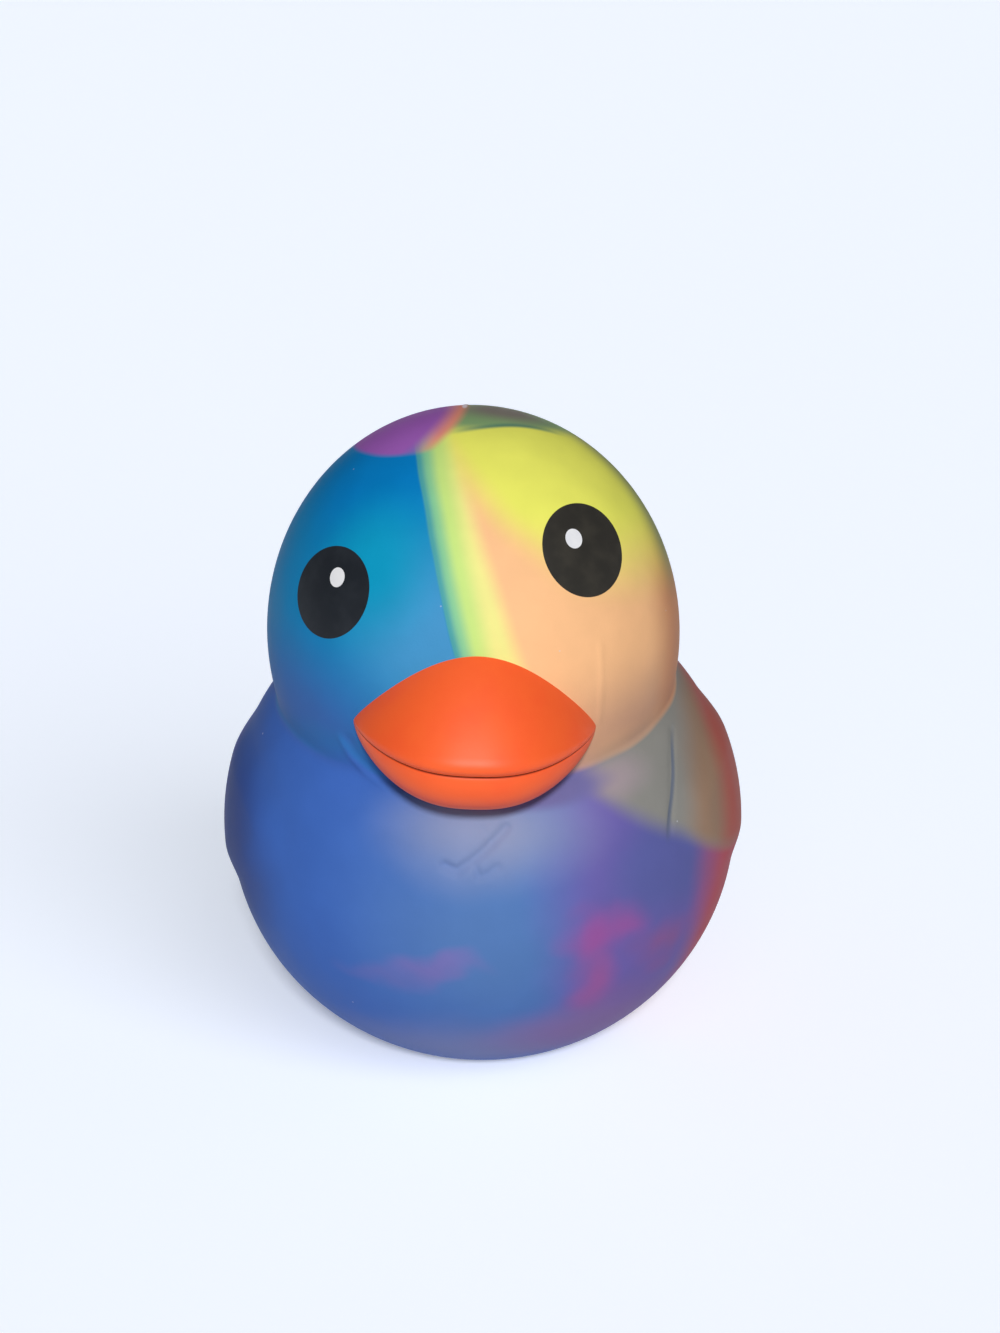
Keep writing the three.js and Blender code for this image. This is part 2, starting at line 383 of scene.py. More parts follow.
@dataclass
class Bill:
    """The bill: one section carried from corner to corner, shrinking towards both."""

    form: DuckForm
    half_width: float = 13.6
    drop: float = 4.3
    sink: float = 0.4
    root: float = -3.0
    crown: float = 11.6
    reach: float = 13.0
    depth: float = 8.2
    upper_fullness: float = 1.9
    lower_fullness: float = 2.5
    upper_bluntness: float = 0.05
    lower_bluntness: float = 0.18
    lip_rise: float = 0.6
    lip_round: float = 1.0
    lip_hang: float = 1.5
    slope_pull: Pair = (0.58, 0.76)
    chin_share: float = 0.24
    jaw_share: float = 0.9
    inner_share: float = 0.8
    groove_round: Pair = (0.1, 0.05)
    mouth_drop: float = 1.75
    mouth_depth: float = 0.6
    mouth_width: float = 0.5
    line_spread: float = 0.75
    end_power: int = 12
    skew: float = math.radians(4.4)
    stations: int = 180
    curve_steps: int = 36

    def corner_line(self) -> Pair:
        """Y and Z of the straight line between the bill's corners, just under the head's surface."""
        level = self.form.head.centre[2] - self.drop
        front = self.form.face_depth(np.array(self.half_width), np.array(level))
        return float(front) + self.sink, level

    def sweep(self, start: Sequence[float], pull: Sequence[float], end: Sequence[float]) -> np.ndarray:
        """A curve from start towards end, drawn to one side by a pull point.

        Args:
            start: Reach and height where it starts.
            pull: Reach and height that it bends towards.
            end: Reach and height where it ends, which is left to the next stretch.

        Returns:
            Points along it, one a row.
        """
        share = np.linspace(0.0, 1.0, self.curve_steps, endpoint=False)[:, None]
        start, pull, end = np.array(start), np.array(pull), np.array(end)
        return (1 - share) ** 2 * start + 2 * share * (1 - share) * pull + share ** 2 * end

    def section(self) -> np.ndarray:
        """The middle section, as reach ahead of the corner line and height above it.

        It runs over the crown, down the slope to a rounded lip, into the mouth line and out again,
        round the lower bill and back inside the head.

        Returns:
            Points round the closed section, one a row.
        """
        half = 0.5 * self.mouth_width
        crown, lip = (0.0, self.crown), (self.reach, self.lip_rise)
        lip_pull = (self.reach + self.lip_round, self.lip_rise - self.lip_hang * self.lip_round)
        upper_edge = (self.reach, half - self.mouth_drop)
        groove = (self.reach - self.mouth_depth, -self.mouth_drop)
        lower_edge = (self.reach - half, -half - self.mouth_drop)
        chin = (self.chin_share * self.reach, -self.depth)
        jaw_pull = (self.reach, -self.jaw_share * self.depth)
        inner_low = (-self.root, -self.jaw_share * self.depth)
        inner_high = (-self.root, self.inner_share * self.crown)
        inward, apart = self.groove_round
        stretches = [
            self.sweep(crown, (self.slope_pull[0] * self.reach, self.slope_pull[1] * self.crown), lip),
            self.sweep(lip, lip_pull, upper_edge),
            self.sweep(upper_edge, (upper_edge[0] - inward, groove[1] + apart), groove),
            self.sweep(groove, (lower_edge[0] - inward, groove[1] - apart), lower_edge),
            self.sweep(lower_edge, jaw_pull, chin),
            np.array([chin, inner_low, inner_high]),
        ]
        return np.concatenate(stretches)

    def arch(self, share: np.ndarray, fullness: float, bluntness: float) -> np.ndarray:
        """An arch, one less a power of the share, with short blunt ends.

        Args:
            share: X over the half width, from minus one to one.
            fullness: The power; the higher, the fuller the arch.
            bluntness: How far the ends go from the arch to a square end.

        Returns:
            Sizes, one in the middle.
        """
        plain = 1.0 - np.abs(share) ** fullness
        square = np.sqrt(np.maximum(1.0 - share ** self.end_power, 0.0))
        return plain + (square - plain) * bluntness

    def skewed(self, points: np.ndarray) -> np.ndarray:
        """Points turned about the line straight ahead through the corner line's middle, as this bill sits.

        Args:
            points: Points, with a last axis of three.

        Returns:
            The turned points.
        """
        level = self.corner_line()[1]
        cos, sin = math.cos(self.skew), math.sin(self.skew)
        across, up = points[..., 0], points[..., 2] - level
        return np.stack([cos * across + sin * up, points[..., 1], level + cos * up - sin * across], axis=-1)

    def build(self) -> SceneObject:
        """Make the bill's mesh, with the mouth groove marked in an attribute for the painted shade there.

        The upper arch scales the section's height above the corner line; the lower arch scales its reach
        and its depth below that line.

        Returns:
            The new object.
        """
        section = self.section()
        front, level = self.corner_line()
        share = -np.cos(np.linspace(0.0, math.pi, self.stations + 2)[1:-1])
        upper = self.arch(share, self.upper_fullness, self.upper_bluntness)[:, None]
        lower = self.arch(share, self.lower_fullness, self.lower_bluntness)[:, None]
        across = np.broadcast_to(self.half_width * share[:, None], (len(share), len(section)))
        height = level + np.where(section[:, 1] > 0.0, upper, lower) * section[:, 1]
        rings = self.skewed(np.stack([across, front - lower * section[:, 0], height], axis=-1))
        tips = self.skewed(np.array([[-self.half_width, front, level], [self.half_width, front, level]]))
        piece = closed_stack("duck_bill", rings, tips[0], tips[1])
        # The mark for the mouth groove's painted shade: a bell round the groove's bottom in every section.
        away = np.hypot(section[:, 0] - self.reach + self.mouth_depth, section[:, 1] + self.mouth_drop)
        line = np.exp(-((away / (self.line_spread * self.mouth_depth)) ** 2))
        marks = np.concatenate([np.tile(line, len(share)), np.zeros(2)]).astype(np.float32)
        piece.data.attributes.new(MOUTH_GROOVE_SHADE, "FLOAT", "POINT").data.foreach_set("value", marks)
        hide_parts(CAD_NODE)
        return piece


@dataclass(frozen=True)
class PrintedPatch:
    """A thin oval of ink on the face; its centre and two half axes are X and Z seen from straight ahead."""

    name: str
    centre: Pair
    wide_axis: Pair
    tall_axis: Pair
    rise: float
    sunk: float = 0.12
    around: int = 128
    rings: int = 12

    def build(self, form: DuckForm) -> SceneObject:
        """Make the oval, hugging the head.

        Its upper face is the head's surface raised a little, over an ellipse spanned by the two half axes;
        its under face is the same oval a little inside the skin.

        Args:
            form: The moulded form that carries it.

        Returns:
            The new object.
        """
        share = np.linspace(0.0, 1.0, self.rings + 1)[1:]
        share = np.concatenate([share, share[::-1]])[:, None]
        turn = -np.linspace(0.0, 2.0 * math.pi, self.around, endpoint=False)
        wide, tall = share * np.cos(turn), share * np.sin(turn)
        across = self.centre[0] + wide * self.wide_axis[0] + tall * self.tall_axis[0]
        height = self.centre[1] + wide * self.wide_axis[1] + tall * self.tall_axis[1]
        upper = np.arange(2 * self.rings)[:, None] < self.rings
        rings = self.lifted(form, across, height, np.where(upper, self.rise, -self.sunk))
        middle = np.array(self.centre)
        tips = self.lifted(form, middle[[0, 0]], middle[[1, 1]], np.array([self.rise, -self.sunk]))
        return closed_stack(self.name, rings, tips[0], tips[1], (self.rings - 1, self.rings))

    @staticmethod
    def lifted(form: DuckForm, across: np.ndarray, height: np.ndarray, lift: np.ndarray) -> np.ndarray:
        """Points of the face at X and Z, moved outwards by a lift."""
        points = np.stack([across, form.face_depth(across, height), height], axis=-1)
        return points + (lift + 0.0 * across)[..., None] * form.face_normal(points)


class NodeSheet:
    """A shader node tree, with short calls that add nodes and join them."""

    def __init__(self, tree: Tree) -> None:
        """Keep the tree that the calls write to."""
        self.tree = tree

    def node(
        self, kind: str, inputs: dict[str | int, Any] | None = None, **settings: Any
    ) -> Node:
        """Add a node.

        Args:
            kind: The node's type, such as "ShaderNodeMath".
            inputs: A value, or a socket to join, for inputs by name or number.
            **settings: Properties of the node.

        Returns:
            The new node.
        """
        made = self.tree.nodes.new(kind)
        for key, value in settings.items():
            setattr(made, key, value)
        for key, value in (inputs or {}).items():
            self.feed(made.inputs[key], value)
        return made

    def feed(self, target: Socket, value: Any) -> None:
        """Join a socket to an input, or write a plain value there."""
        if isinstance(value, Socket):
            self.tree.links.new(value, target)
        else:
            target.default_value = value

    def math(self, operation: str, *values: Any) -> Socket:
        """A Math node's result for one to three values or sockets."""
        return self.node("ShaderNodeMath", dict(enumerate(values)), operation=operation).outputs[0]

    def vector(self, operation: str, *values: Any) -> Node:
        """A Vector Math node for vectors or sockets."""
        return self.node("ShaderNodeVectorMath", dict(enumerate(values)), operation=operation)

    def smooth(self, value: Any, start: Any, end: Any) -> Socket:
        """A smooth step from 0 at start to 1 at end."""
        inputs = {"Value": value, "From Min": start, "From Max": end}
        return self.node("ShaderNodeMapRange", inputs, interpolation_type="SMOOTHSTEP").outputs["Result"]

    def scaled(self, vector: Any, factor: Any) -> Socket:
        """A vector times a number."""
        inputs = {0: vector, "Scale": factor}
        return self.node("ShaderNodeVectorMath", inputs, operation="SCALE").outputs[0]

    def span(self, value: Any, ends: Pair) -> Socket:
        """A value from 0 to 1, spread between two ends."""
        inputs = {"Value": value, "To Min": ends[0], "To Max": ends[1]}
        return self.node("ShaderNodeMapRange", inputs).outputs["Result"]

    def noise(self, point: Any, pitch: Any, detail: float, roughness: float) -> Node:
        """A noise texture over a point, with folds about a pitch wide."""
        scale = self.math("DIVIDE", 1.0, pitch)
        inputs = {"Vector": point, "Scale": scale, "Detail": detail, "Roughness": roughness}
        return self.node("ShaderNodeTexNoise", inputs)

    def mix(self, share: Any, under: Any, over: Any) -> Socket:
        """One colour over another by a share."""
        return self.node("ShaderNodeMix", {0: share, 6: under, 7: over}, data_type="RGBA").outputs[2]

    def group(self, tree: Tree, inputs: dict[str, Any]) -> Node:
        """Place a node group with its own values."""
        made = self.tree.nodes.new("ShaderNodeGroup")
        made.node_tree = tree
        for key, value in inputs.items():
            self.feed(made.inputs[key], value)
        return made


def cleared_sheet(owner: bpy.types.Material | bpy.types.World) -> NodeSheet:
    """Turn on a material's or world's nodes, and empty them."""
    owner.use_nodes = True
    owner.node_tree.nodes.clear()
    return NodeSheet(owner.node_tree)


class GroupSheet(NodeSheet):
    """A node group under construction, with named inputs and outputs."""

    def __init__(self, name: str, inputs: dict[str, str], outputs: dict[str, str]) -> None:
        """Start a group.

        Args:
            name: The group's name.
            inputs: Socket kinds by name, such as {"Point": "Vector"}.
            outputs: Socket kinds by name.
        """
        super().__init__(bpy.data.node_groups.new(name, "ShaderNodeTree"))
        for direction, sockets in (("INPUT", inputs), ("OUTPUT", outputs)):
            for key, kind in sockets.items():
                self.tree.interface.new_socket(key, in_out=direction, socket_type=f"NodeSocket{kind}")
        self.given = self.tree.nodes.new("NodeGroupInput").outputs
        self.result = self.tree.nodes.new("NodeGroupOutput").inputs


def make_pool_group() -> Tree:
    """A pigment pool: one inside an ellipsoid, falling smoothly to nothing round its surface."""
    sheet = GroupSheet(
        "Pigment pool",
        {"Point": "Vector", "Centre": "Vector", "Radii": "Vector", "Softness": "Float"},
        {"Mask": "Float"},
    )
    away = sheet.vector("SUBTRACT", sheet.given["Point"], sheet.given["Centre"]).outputs[0]
    scaled = sheet.vector("DIVIDE", away, sheet.given["Radii"]).outputs[0]
    level = sheet.vector("LENGTH", scaled).outputs["Value"]
    outer = sheet.math("ADD", 1.0, sheet.given["Softness"])
    inner = sheet.math("SUBTRACT", 1.0, sheet.given["Softness"])
    sheet.feed(sheet.result["Mask"], sheet.smooth(level, outer, inner))
    return sheet.tree


def make_front_group() -> Tree:
    """A pigment front: one past a plane, as far as a depth, with a blur at both edges."""
    sheet = GroupSheet(
        "Pigment front",
        {"Point": "Vector", "Through": "Vector", "Facing": "Vector", "Blur": "Float", "Depth": "Float",
         "Far Blur": "Float"},
        {"Mask": "Float"},
    )
    away = sheet.vector("SUBTRACT", sheet.given["Point"], sheet.given["Through"]).outputs[0]
    past = sheet.vector("DOT_PRODUCT", away, sheet.given["Facing"]).outputs["Value"]
    near = sheet.math("MULTIPLY", sheet.given["Blur"], 0.5)
    start = sheet.smooth(past, sheet.math("MULTIPLY", near, -1.0), near)
    far = sheet.math("MULTIPLY", sheet.given["Far Blur"], 0.5)
    left = sheet.math("SUBTRACT", sheet.given["Depth"], past)
    end = sheet.smooth(left, sheet.math("MULTIPLY", far, -1.0), far)
    sheet.feed(sheet.result["Mask"], sheet.math("MULTIPLY", start, end))
    return sheet.tree


def make_drift_group() -> Tree:
    """The point in millimetres, drifted by slow noise as pigment drifts in wet foam."""
    sheet = GroupSheet(
        "Pigment drift",
        {"Object Point": "Vector", "Reach": "Float", "Pitch": "Float"},
        {"Point": "Vector"},
    )
    point = sheet.scaled(sheet.given["Object Point"], 1.0 / MM)
    noise = sheet.noise(point, sheet.given["Pitch"], detail=1.5, roughness=0.45)
    swing = sheet.vector("SUBTRACT", noise.outputs["Color"], (0.5, 0.5, 0.5)).outputs[0]
    drift = sheet.scaled(swing, sheet.given["Reach"])
    sheet.feed(sheet.result["Point"], sheet.vector("ADD", point, drift).outputs[0])
    return sheet.tree


def make_grain_group() -> Tree:
    """A moulded skin's fine grain: a height for bump and a slow mottle for gloss and colour."""
    sheet = GroupSheet(
        "Moulded grain",
        {"Object Point": "Vector", "Grain Pitch": "Float", "Mottle Pitch": "Float"},
        {"Height": "Float", "Mottle": "Float"},
    )
    point = sheet.scaled(sheet.given["Object Point"], 1.0 / MM)
    fine = sheet.noise(point, sheet.given["Grain Pitch"], detail=2.0, roughness=0.55)
    slow = sheet.noise(point, sheet.given["Mottle Pitch"], detail=3.0, roughness=0.5)
    sheet.feed(sheet.result["Height"], sheet.math("ADD", fine.outputs[0], slow.outputs[0]))
    sheet.feed(sheet.result["Mottle"], slow.outputs[0])
    return sheet.tree


def make_dust_group() -> Tree:
    """Sparse pale dust specks: small balls in a few cells of a scattered lattice."""
    solid_share = 0.4
    sheet = GroupSheet(
        "Dust specks",
        {"Object Point": "Vector", "Spacing": "Float", "Speck Radius": "Float", "Share": "Float"},
        {"Mask": "Float"},
    )
    scale = sheet.math("DIVIDE", 1.0 / MM, sheet.given["Spacing"])
    cells = sheet.node("ShaderNodeTexVoronoi", {"Vector": sheet.given["Object Point"], "Scale": scale})
    radius = sheet.math("DIVIDE", sheet.given["Speck Radius"], sheet.given["Spacing"])
    near = sheet.smooth(cells.outputs["Distance"], radius, sheet.math("MULTIPLY", radius, solid_share))
    pick = sheet.node("ShaderNodeSeparateColor", {0: cells.outputs["Color"]}).outputs[0]
    chosen = sheet.math("LESS_THAN", pick, sheet.given["Share"])
    sheet.feed(sheet.result["Mask"], sheet.math("MULTIPLY", near, chosen))
    return sheet.tree


@dataclass(frozen=True)
class Pool:
    """An ellipsoid of pigment, its edge this soft as a share of its size."""

    centre: Triple
    radii: Triple
    softness: float

    def mask(self, sheet: NodeSheet, groups: EffectGroups, point: Socket) -> Socket:
        """Place the pool's group and give its mask."""
        inputs = {"Point": point, "Centre": self.centre, "Radii": self.radii, "Softness": self.softness}
        return sheet.group(groups.pool, inputs).outputs["Mask"]


@dataclass(frozen=True)
class Front:
    """Pigment past a plane, with an edge this blurred, and as far as a depth."""

    through: Triple
    facing: Triple
    blur: float
    depth: float = 200.0
    far_blur: float = 1.0

    def mask(self, sheet: NodeSheet, groups: EffectGroups, point: Socket) -> Socket:
        """Place the front's group and give its mask."""
        facing = tuple(Vector(self.facing).normalized())
        inputs = {"Point": point, "Through": self.through, "Facing": facing, "Blur": self.blur,
                  "Depth": self.depth, "Far Blur": self.far_blur}
        return sheet.group(groups.front, inputs).outputs["Mask"]


@dataclass(frozen=True)
class Pigment:
    """A colour that lies where all its bounds overlap."""

    name: str
    colour: str
    bounds: tuple[Pool | Front, ...]
    strength: float = 1.0

    def over(self, sheet: NodeSheet, groups: EffectGroups, point: Socket, under: Socket) -> Socket:
        """Lay the pigment over what is there.

        Args:
            sheet: The material's nodes.
            groups: The shared effects.
            point: The drifted point in millimetres.
            under: The colour so far.

        Returns:
            The colour with this pigment on it.
        """
        share: Any = self.strength
        for bound in self.bounds:
            share = sheet.math("MULTIPLY", bound.mask(sheet, groups, point), share)
        laid = sheet.mix(share, under, linear(self.colour))
        laid.node.label = self.name
        return laid


@dataclass
class EffectGroups:
    """The node groups that the materials share, each made once."""

    pool: Tree = field(default_factory=make_pool_group)
    front: Tree = field(default_factory=make_front_group)
    drift: Tree = field(default_factory=make_drift_group)
    grain: Tree = field(default_factory=make_grain_group)
    dust: Tree = field(default_factory=make_dust_group)


@dataclass(frozen=True)
class Marbling:
    """Pigments that have drifted together, this far and in folds this wide."""

    reach: float
    pitch: float
    pigments: tuple[Pigment, ...]


# Directions and bounds that several pigments share
RIGHTWARD = (1.0, 0.0, 0.0)
HEAD = Pool((0.0, -5.0, 57.0), (25.4, 26.0, 29.45), 0.015)
FACE_LINE = (-1.7, -29.5, 58.6)
FACE_SIDE = (0.981, 0.0, 0.195)
BEFORE_LINE = (-4.7, -29.5, 58.0)
WARM_SIDE = Front(BEFORE_LINE, FACE_SIDE, 1.0)
SELVAGE_END = Front((0.3, -20.0, 73.9), (-0.956, 0.0, -0.29), 2.4)
COOL_SIDE = Front(FACE_LINE, (-0.981, 0.0, -0.195), 0.4)
CAP = Pool((-5.0, 0.0, 83.2), (12.3, 17.5, 9.8), 0.04)
CROWN_LINE = (4.0, -10.0, 79.0)
CROWN_SIDE = (-0.36, 0.93, 0.0)
CROWN = Front(CROWN_LINE, CROWN_SIDE, 0.9)
CROWN_EDGE = Front(CROWN_LINE, CROWN_SIDE, 0.8, 0.7, 1.0)
CROWN_WISP = Pool((2.0, 4.0, 79.0), (12.5, 15.0, 8.0), 0.12)
SHOULDER = Front((20.0, -22.0, 35.0), (0.605, 0.0, 0.796), 2.6)
BEFORE_BRICK = Front((30.5, -9.0, 34.0), (-0.9, -0.45, 0.0), 4.0)
# Where the painted shade in the wing's front fold lies.
WING_FOLD_SHADE = Front((22.0, -18.0, 38.0), (0.992, 0.0, -0.125), 0.2, 0.4, 0.4)


def selvage(depth: float, far_blur: float) -> Front:
    """A strip of pigment along the face's colour line, this deep on its warm side."""
    return Front(BEFORE_LINE, FACE_SIDE, 1.0, depth, far_blur)


BODY_MARBLING = Marbling(4.0, 10.0, (
    Pigment("azure belly", "#5379b3", (Pool((1.0, -31.0, 25.0), (13.0, 18.0, 14.0), 0.8),)),
    Pigment("violet flank", "#6c5fa8", (Front((9.0, 0.0, 0.0), RIGHTWARD, 9.0),)),
    Pigment("indigo flank", "#5a5f9f", (Pool((22.0, -22.0, 30.0), (9.0, 11.0, 7.0), 0.6),)),
    Pigment("crimson rim", "#b84d5a", (Front((24.8, -14.0, 22.0), (0.9, 0.4, -0.15), 8.0),)),
    Pigment("pale breast", "#8894b8", (Pool((1.5, -31.0, 38.0), (9.0, 9.0, 5.0), 0.9),)),
    # Painted shade: darkens the body's left side to navy.
    Pigment("navy painted side shade", "#34498a", (Pool((-31.0, -8.0, 31.0), (6.0, 14.0, 13.0), 0.7),)),
    Pigment("lilac underside", "#7480b4", (Pool((0.0, -22.0, 7.0), (14.0, 11.0, 5.0), 0.8),)),
    Pigment("rosy underside", "#86669e", (Pool((12.0, -20.0, 9.0), (10.0, 12.0, 5.0), 0.8),), 0.8),
))

BLOOM_MARBLING = Marbling(7.0, 6.5, (
    Pigment("streak tail", "#7a6bb0", (Pool((-11.5, -28.5, 19.4), (4.5, 5.0, 1.3), 0.9),), 0.4),
    Pigment("streak head", "#8c6cb2", (Pool((-5.5, -30.0, 21.4), (4.0, 5.0, 1.4), 0.9),), 0.5),
    Pigment("rose flank", "#98557f", (Pool((20.5, -20.0, 19.6), (3.4, 5.0, 2.2), 0.9),), 0.6),
    Pigment("magenta bloom", "#a94f96", (Pool((13.8, -26.5, 23.6), (3.4, 5.0, 2.6), 0.9),), 0.7),
    Pigment("magenta trail", "#a35796", (Pool((12.3, -26.5, 16.6), (2.6, 5.0, 4.2), 0.9),), 0.7),
))

SHOULDER_MARBLING = Marbling(1.2, 8.0, (
    Pigment("sage shoulder", "#8b8a85", (
        SHOULDER, BEFORE_BRICK, Front((12.6, 0.0, 0.0), RIGHTWARD, 5.0),
    )),
    Pigment("rose grey shoulder", "#a3939b", (
        SHOULDER, Pool((15.5, -25.0, 40.8), (4.0, 6.0, 2.0), 0.8),
    ), 0.8),
    Pigment("olive wing", "#977b66", (
        SHOULDER, BEFORE_BRICK, Front((24.6, -17.0, 38.0), RIGHTWARD, 4.0),
    )),
    Pigment("brick wing", "#b2574b", (SHOULDER, Front((28.3, -10.0, 36.0), (0.87, 0.43, -0.15), 5.0))),
    # Painted shade: a dark slate line in the wing's front fold.
    Pigment("slate painted fold shade", "#53617a", (WING_FOLD_SHADE, Pool((22.2, -18.0, 38.0), (3.0, 9.0, 5.0), 0.4)), 0.7),
))

HEAD_MARBLING = Marbling(1.2, 14.0, (
    Pigment("peach cheek", "#f9c08c", (HEAD, WARM_SIDE)),
    # Painted shade: greys the head's lower right edge at the neck crease.
    Pigment("tan jowl", "#cc9d80", (HEAD, Pool((20.0, -20.0, 43.0), (18.0, 16.0, 9.0), 0.6))),
    Pigment("grey painted neck crease shade", "#a88d80", (HEAD, Pool((20.0, -18.0, 40.5), (9.0, 9.0, 4.2), 0.5))),
    # Russet on the head's right edge, made darker there as painted shade.
    Pigment("russet limb partly painted shade", "#cf8a60", (HEAD, Front((21.0, -14.0, 50.0), (0.93, 0.37, 0.0), 6.0)), 0.9),
    Pigment("lemon selvage", "#efe88c", (HEAD, WARM_SIDE, SELVAGE_END)),
    Pigment("lemon crown", "#eeee68", (
        HEAD,
        WARM_SIDE,
        Front((1.2, -20.0, 74.6), (0.7, 0.0, 0.71), 4.5),
        Front((8.6, -24.0, 67.4), (0.26, 0.0, 0.966), 10.0),
    )),
    # Painted shade: olive darkening along the head's upper right edge and round its back.
    Pigment("olive painted limb shade", "#7f8a58", (
        HEAD,
        WARM_SIDE,
        Front((0.0, -9.5, 53.4), (0.15, 0.94, -0.3), 7.0),
        Front((0.0, 0.0, 60.0), (0.0, 0.0, 1.0), 8.0),
    ), 0.85),
    Pigment("lime selvage", "#c6e480", (HEAD, selvage(6.7, 2.4))),
    Pigment("mint selvage", "#86c896", (HEAD, selvage(4.9, 1.6))),
    Pigment("blue selvage", "#4aa0a4", (HEAD, selvage(3.8, 1.0))),
    Pigment("green wisp", "#86a874", (WARM_SIDE, CROWN, CROWN_WISP)),
    Pigment("teal thread", "#3f7a70", (WARM_SIDE, CROWN_EDGE, CROWN_WISP), 0.8),
    Pigment("grey crown", "#857e74", (Pool((5.0, -4.0, 80.0), (5.0, 3.5, 3.0), 0.6),)),
    # Mauve under the bill's right side, darkened as the bill's painted shadow.
    Pigment("mauve throat with painted bill shadow", "#6d6a9e", (Pool((6.5, -27.5, 41.3), (8.5, 7.0, 1.8), 0.4),)),
    Pigment("head azure", "#0a84bd", (HEAD, COOL_SIDE)),
    Pigment("deep crown blue", "#007cc2", (COOL_SIDE, Pool((-9.0, -14.0, 75.0), (10.0, 9.0, 7.0), 0.6))),
    Pigment("light blue by the bill", "#4292c6", (
        HEAD, COOL_SIDE, Pool((-4.0, -29.0, 60.0), (9.0, 7.0, 9.0), 0.8),
    )),
    Pigment("teal cheek", "#0697c0", (COOL_SIDE, Pool((-11.0, -24.0, 68.0), (6.0, 6.0, 7.0), 0.8))),
    Pigment("cobalt jowl", "#3a6bb4", (
        HEAD, COOL_SIDE, Pool((-19.0, -18.0, 46.0), (14.0, 14.0, 10.0), 0.6),
    )),
    Pigment("salmon rim", "#e9937c", (
        CAP,
        Pool((-9.5, -3.0, 80.0), (9.9, 14.0, 12.0), 0.07),
        Front((-4.5, 0.0, 0.0), RIGHTWARD, 4.0),
    )),
    Pigment("purple cap", "#a05fb8", (CAP, Pool((-10.5, -2.5, 80.0), (9.3, 13.5, 12.0), 0.14))),
    Pigment("pale nub", "#d9cbd0", (Pool((0.2, -2.4, 80.1), (0.3, 1.2, 1.2), 0.4),)),
))

BACK_MARBLING = Marbling(4.0, 12.0, (
    Pigment("lime nape", "#b9d26a", (Pool((12.0, 16.0, 60.0), (12.0, 12.0, 13.0), 0.5),)),
    Pigment("teal back", "#2f8fa6", (Pool((-8.0, 28.0, 36.0), (14.0, 12.0, 12.0), 0.6),)),
    Pigment("orange back", "#e08a4e", (Pool((18.0, 23.0, 31.0), (9.0, 11.0, 9.0), 0.6),)),
    Pigment("magenta back", "#ab549c", (Pool((2.0, 26.0, 17.0), (13.0, 12.0, 8.0), 0.6),)),
    Pigment("violet wing", "#6a62b4", (Pool((-30.0, 12.0, 32.0), (8.0, 12.0, 9.0), 0.6),)),
))


@dataclass(frozen=True, kw_only=True)
class Finish:
    """What every finish shares: a Principled shader with a moulded grain in its gloss and bump."""

    name: str
    roughness: Pair
    specular: float
    bump: float
    grain_pitch: float
    mottle_pitch: float

    def colour_nodes(self, sheet: NodeSheet, groups: EffectGroups, place: Socket, mottle: Socket) -> Socket:
        """Lay the finish's colour.

        Args:
            sheet: The material's nodes.
            groups: The shared effects.
            place: The point on the piece, in metres.
            mottle: The grain's slow mottle.

        Returns:
            The colour.
        """
        raise NotImplementedError

    def material(self, groups: EffectGroups) -> bpy.types.Material:
        """Make the material.

        Args:
            groups: The shared effects.

        Returns:
            The new material.
        """
        material = bpy.data.materials.new(self.name)
        sheet = cleared_sheet(material)
        place = sheet.node("ShaderNodeTexCoord").outputs["Object"]
        pitches = {"Grain Pitch": self.grain_pitch, "Mottle Pitch": self.mottle_pitch}
        grain = sheet.group(groups.grain, {"Object Point": place, **pitches}).outputs
        relief = {"Height": grain["Height"], "Strength": self.bump, "Distance": BUMP_DEPTH * MM}
        shader = sheet.node("ShaderNodeBsdfPrincipled", {
            "Base Color": self.colour_nodes(sheet, groups, place, grain["Mottle"]),
            "Roughness": sheet.span(grain["Mottle"], self.roughness),
            "Normal": sheet.node("ShaderNodeBump", relief).outputs["Normal"],
            "Specular IOR Level": self.specular,
        })
        sheet.node("ShaderNodeOutputMaterial", {"Surface": shader.outputs[0]})
        return material


@dataclass(frozen=True, kw_only=True)
class FoamFinish(Finish):
    """Marbled foam skin: pigments laid in order over a cobalt ground, some of them painted shade, with a
    matte grain and some dust.
    """

    name: str = "marbled foam"
    roughness: Pair = (0.5, 0.66)
    specular: float = 0.12
    bump: float = 0.12
    grain_pitch: float = 0.35
    mottle_pitch: float = 5.0
    ground: str = "#3f69bb"
    marblings: tuple[Marbling, ...] = (
        BODY_MARBLING, BLOOM_MARBLING, SHOULDER_MARBLING, HEAD_MARBLING, BACK_MARBLING,
    )
    cloudiness: Pair = (0.92, 1.08)
    dust: str = "#d8dbe6"
    dust_strength: float = 0.55
    dust_spacing: float = 3.2
    dust_radius: float = 0.16
    dust_share: float = 0.1

    def colour_nodes(self, sheet: NodeSheet, groups: EffectGroups, place: Socket, mottle: Socket) -> Socket:
        """Lay the pigments, then a faint cloud, then the dust; for the arguments see Finish."""
        colour: Any = linear(self.ground)
        for marbling in self.marblings:
            drift = {"Object Point": place, "Reach": marbling.reach, "Pitch": marbling.pitch}
            point = sheet.group(groups.drift, drift).outputs["Point"]
            for pigment in marbling.pigments:
                colour = pigment.over(sheet, groups, point, colour)
        colour = sheet.scaled(colour, sheet.span(mottle, self.cloudiness))
        sizes = {"Spacing": self.dust_spacing, "Speck Radius": self.dust_radius, "Share": self.dust_share}
        specks = sheet.group(groups.dust, {"Object Point": place, **sizes}).outputs["Mask"]
        return sheet.mix(sheet.math("MULTIPLY", specks, self.dust_strength), colour, linear(self.dust))


